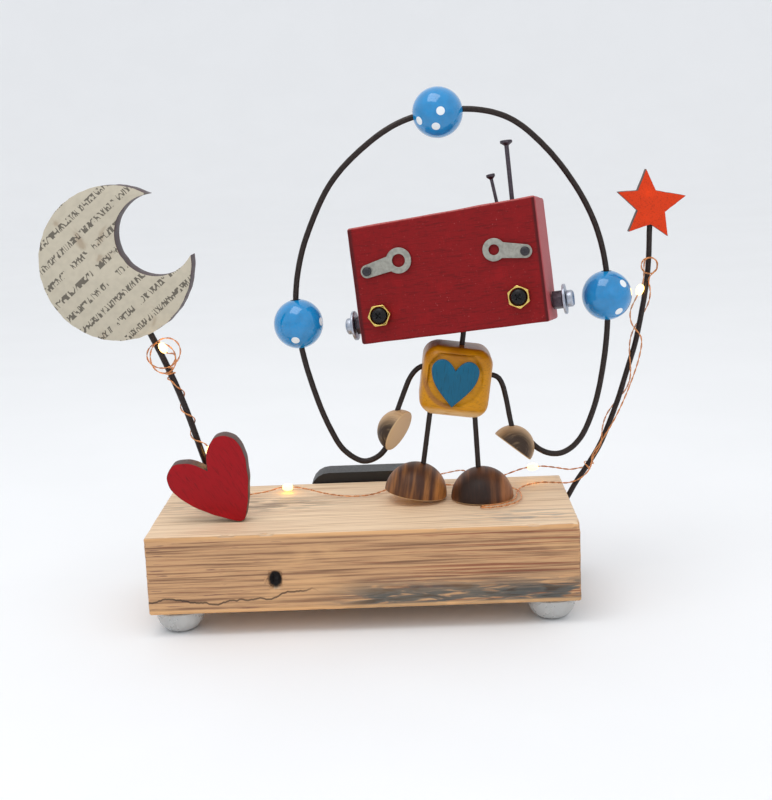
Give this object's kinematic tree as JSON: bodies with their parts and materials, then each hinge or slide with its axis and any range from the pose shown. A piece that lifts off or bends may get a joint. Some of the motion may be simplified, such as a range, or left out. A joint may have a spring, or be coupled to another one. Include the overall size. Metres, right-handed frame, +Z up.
{
  "type": "robot ornament lamp",
  "caption": "Small robot of painted wooden blocks and bent wire skipping with a beaded wire hoop, on a wooden base with a paper moon, heart, star and copper light string.",
  "frame": {"origin": "centre of the object's box in plan, on the surface it stands on", "axes": "+Z up, front towards -Y, +X to the right seen from the front along the base block's length"},
  "size_m": [0.2509, 0.0882, 0.2027],
  "materials": {
    "base_wood": "matte",
    "clear_rubber": "satin",
    "burnt_wood": "satin",
    "pale_wood": "matte",
    "black_wire": "satin",
    "ochre_paint": "gloss",
    "blue_paint": "matte",
    "red_paint": "satin",
    "heart_red": "satin",
    "lug_metal": "matte",
    "nail_steel": "satin",
    "brass": "polished",
    "black_screw": "satin",
    "zinc": "satin",
    "bead_blue": "gloss",
    "moon_wood": "matte",
    "moon_paper": "matte",
    "star_orange": "satin",
    "case_plastic": "satin",
    "cell_steel": "satin",
    "foam_tape": "matte",
    "copper_wire": "gloss",
    "led_resin": "gloss"
  },
  "bodies": {
    "root": {"base_block": "base_wood", "bumper_front_left": "clear_rubber", "bumper_front_right": "clear_rubber", "bumper_rear_left": "clear_rubber", "bumper_rear_right": "clear_rubber", "left_foot": "burnt_wood", "right_foot": "burnt_wood", "left_leg": "black_wire", "right_leg": "black_wire", "torso_block": "ochre_paint", "chest_heart": "blue_paint", "neck_wire": "black_wire", "left_arm": "black_wire", "right_arm": "black_wire", "left_hand": "pale_wood", "right_hand": "pale_wood", "hoop_wire": "black_wire", "moon_disc": "moon_wood", "moon_paper": "moon_paper", "moon_stick": "black_wire", "red_heart": "heart_red", "heart_pin": "nail_steel", "star": "star_orange", "star_wire": "black_wire", "battery_case": "case_plastic", "mounting_tape": "foam_tape", "cell_strap": "cell_steel", "left_cell": "cell_steel", "right_cell": "cell_steel", "left_contact": "cell_steel", "right_contact": "cell_steel", "light_string": "copper_wire", "led_1": "led_resin", "led_2": "led_resin", "led_3": "led_resin", "led_4": "led_resin", "led_5": "led_resin", "led_6": "led_resin"},
    "head": {"head_block": "red_paint", "left_eye_nail": "nail_steel", "right_eye_nail": "nail_steel", "left_cheek_nut": "brass", "right_cheek_nut": "brass", "left_cheek_screw": "black_screw", "right_cheek_screw": "black_screw", "left_ear_nut": "nail_steel", "right_ear_nut": "nail_steel", "left_ear_washer": "zinc", "right_ear_washer": "zinc", "left_ear_bolt": "zinc", "right_ear_bolt": "zinc", "tall_antenna_nail": "nail_steel", "short_antenna_nail": "nail_steel"},
    "left_eye": {"left_eye_lug": "lug_metal"},
    "right_eye": {"right_eye_lug": "lug_metal"},
    "left_bead_body": {"left_bead": "bead_blue"},
    "top_bead_body": {"top_bead": "bead_blue"},
    "right_bead_body": {"right_bead": "bead_blue"},
    "cover": {"battery_cover": "case_plastic"},
    "switch": {"switch_slider": "case_plastic"}
  },
  "joints": [
    {"name": "head_turn", "type": "hinge", "parent": "root", "child": "head", "pos_m": [0.0367, -0.00355, 0.1069], "axis": [0.1441, 0, 0.9896], "range_deg": [-25, 25]},
    {"name": "left_eye_swing", "type": "hinge", "parent": "head", "child": "left_eye", "pos_m": [0.00008, -0.00825, 0.13356], "axis": [-0.2128, -0.9723, 0.0969], "range_deg": [-25, 25]},
    {"name": "right_eye_swing", "type": "hinge", "parent": "head", "child": "right_eye", "pos_m": [0.06043, -0.02079, 0.14029], "axis": [-0.2128, -0.9723, 0.0969], "range_deg": [-25, 25]},
    {"name": "left_bead_spin", "type": "hinge", "parent": "root", "child": "left_bead_body", "pos_m": [-0.02806, -0.00355, 0.11353], "axis": [-0.0814, 0, 0.9967], "continuous": true},
    {"name": "top_bead_spin", "type": "hinge", "parent": "root", "child": "top_bead_body", "pos_m": [0.02945, -0.00355, 0.193], "axis": [0.993, 0, 0.1182], "continuous": true},
    {"name": "right_bead_spin", "type": "hinge", "parent": "root", "child": "right_bead_body", "pos_m": [0.09333, -0.00355, 0.12011], "axis": [0.0077, 0, -1], "continuous": true},
    {"name": "cover_slide", "type": "slide", "parent": "root", "child": "cover", "axis": [-1, 0, 0], "range_m": [0, 0.04]},
    {"name": "switch_slide", "type": "slide", "parent": "root", "child": "switch", "axis": [1, 0, 0], "range_m": [0, 0.003]}
  ]
}
